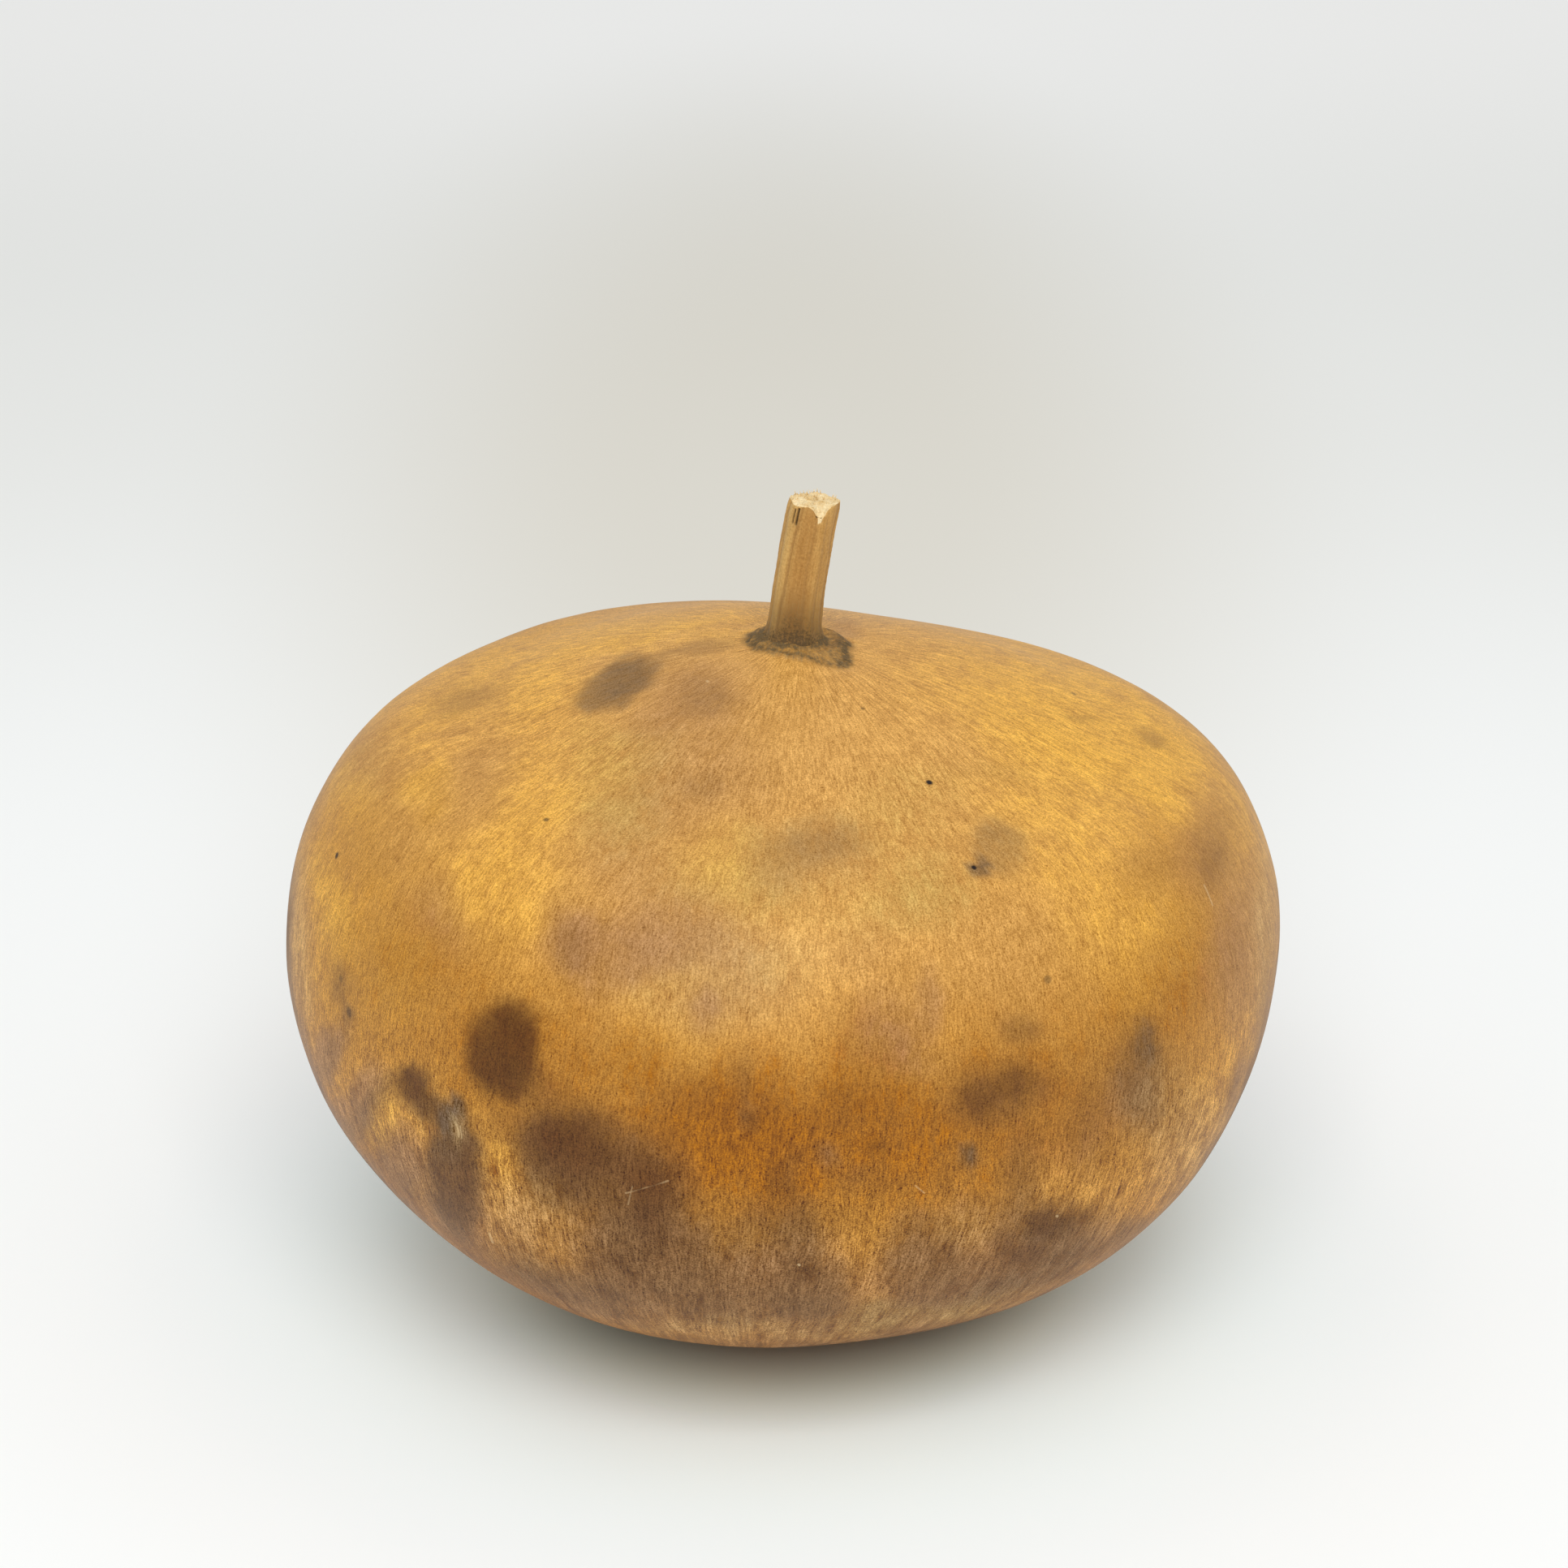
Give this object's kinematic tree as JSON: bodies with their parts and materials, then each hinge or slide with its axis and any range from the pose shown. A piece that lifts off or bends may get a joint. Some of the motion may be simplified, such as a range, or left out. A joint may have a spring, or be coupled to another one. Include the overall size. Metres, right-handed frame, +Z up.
{
  "type": "dried canteen gourd",
  "caption": "Squat round dried canteen gourd with mottled golden-brown skin and a short cut stem, resting on its flat foot.",
  "frame": {"origin": "centre of the footprint, on the surface that the gourd rests on", "axes": "+Z up through the crown, +X to the viewer's right and +Y away from the viewer in the picture"},
  "size_m": [0.1904, 0.1884, 0.1566],
  "materials": {
    "gourd_skin": "satin, mottled gold, amber and brown",
    "stem_wood": "dry straw-coloured fibre, matt"
  },
  "bodies": {
    "root": {"gourd": "gourd_skin", "stem": "stem_wood"}
  },
  "joints": []
}
